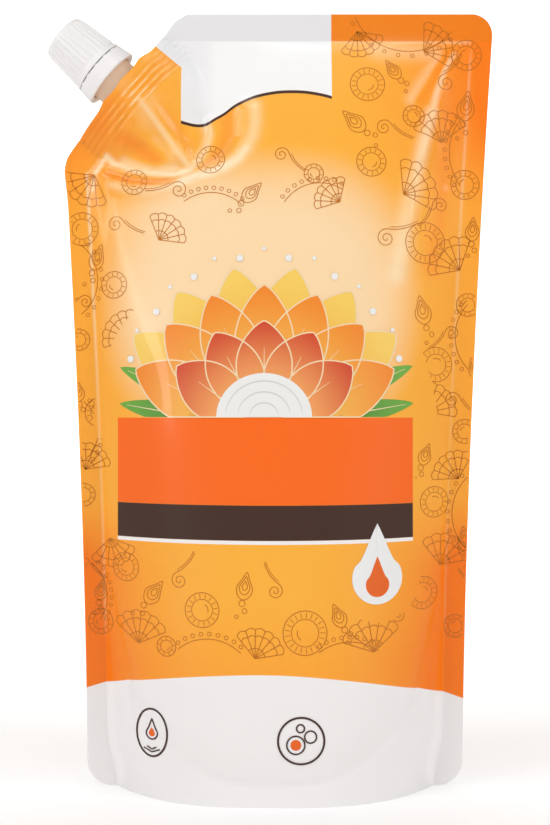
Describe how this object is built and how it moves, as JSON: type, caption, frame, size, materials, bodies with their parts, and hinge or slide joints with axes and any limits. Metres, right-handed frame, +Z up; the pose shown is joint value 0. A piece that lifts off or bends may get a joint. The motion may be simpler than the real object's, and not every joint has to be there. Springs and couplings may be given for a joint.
{
  "type": "hand soap refill pack",
  "caption": "Stand-up film pouch with a folded base gusset, welded side and top seals and a screw-capped spout welded into its cut upper corner.",
  "frame": {"origin": "middle of the base, on the floor, where the gusset lies flat", "axes": "+X to the right seen from the front, +Y from the printed front to the back, +Z up; the spout is on the -X side"},
  "size_m": [0.1256, 0.0592, 0.218],
  "materials": {
    "film": "glossy printed laminate",
    "spout": "natural, slightly waxy",
    "band": "satin white",
    "cap": "satin white",
    "liner": "soft matte"
  },
  "bodies": {
    "pack": {"pouch": "film", "spout": "spout", "tamper_band": "band"},
    "liner": {"cap_liner": "liner"},
    "cap": {"screw_cap": "cap"}
  },
  "joints": [
    {"name": "cap_lift", "type": "slide", "parent": "pack", "child": "liner", "axis": [-0.7547, 0, 0.6561], "range_m": [0, 0.0054]},
    {"name": "cap_turn", "type": "hinge", "parent": "liner", "child": "cap", "pos_m": [-0.0445, 0, 0.1983], "axis": [-0.7547, 0, 0.6561], "range_deg": [0, 720]}
  ],
  "couplings": [
    {"joint": "cap_turn", "follows": "cap_lift", "rad_per_m": 2327.1}
  ]
}
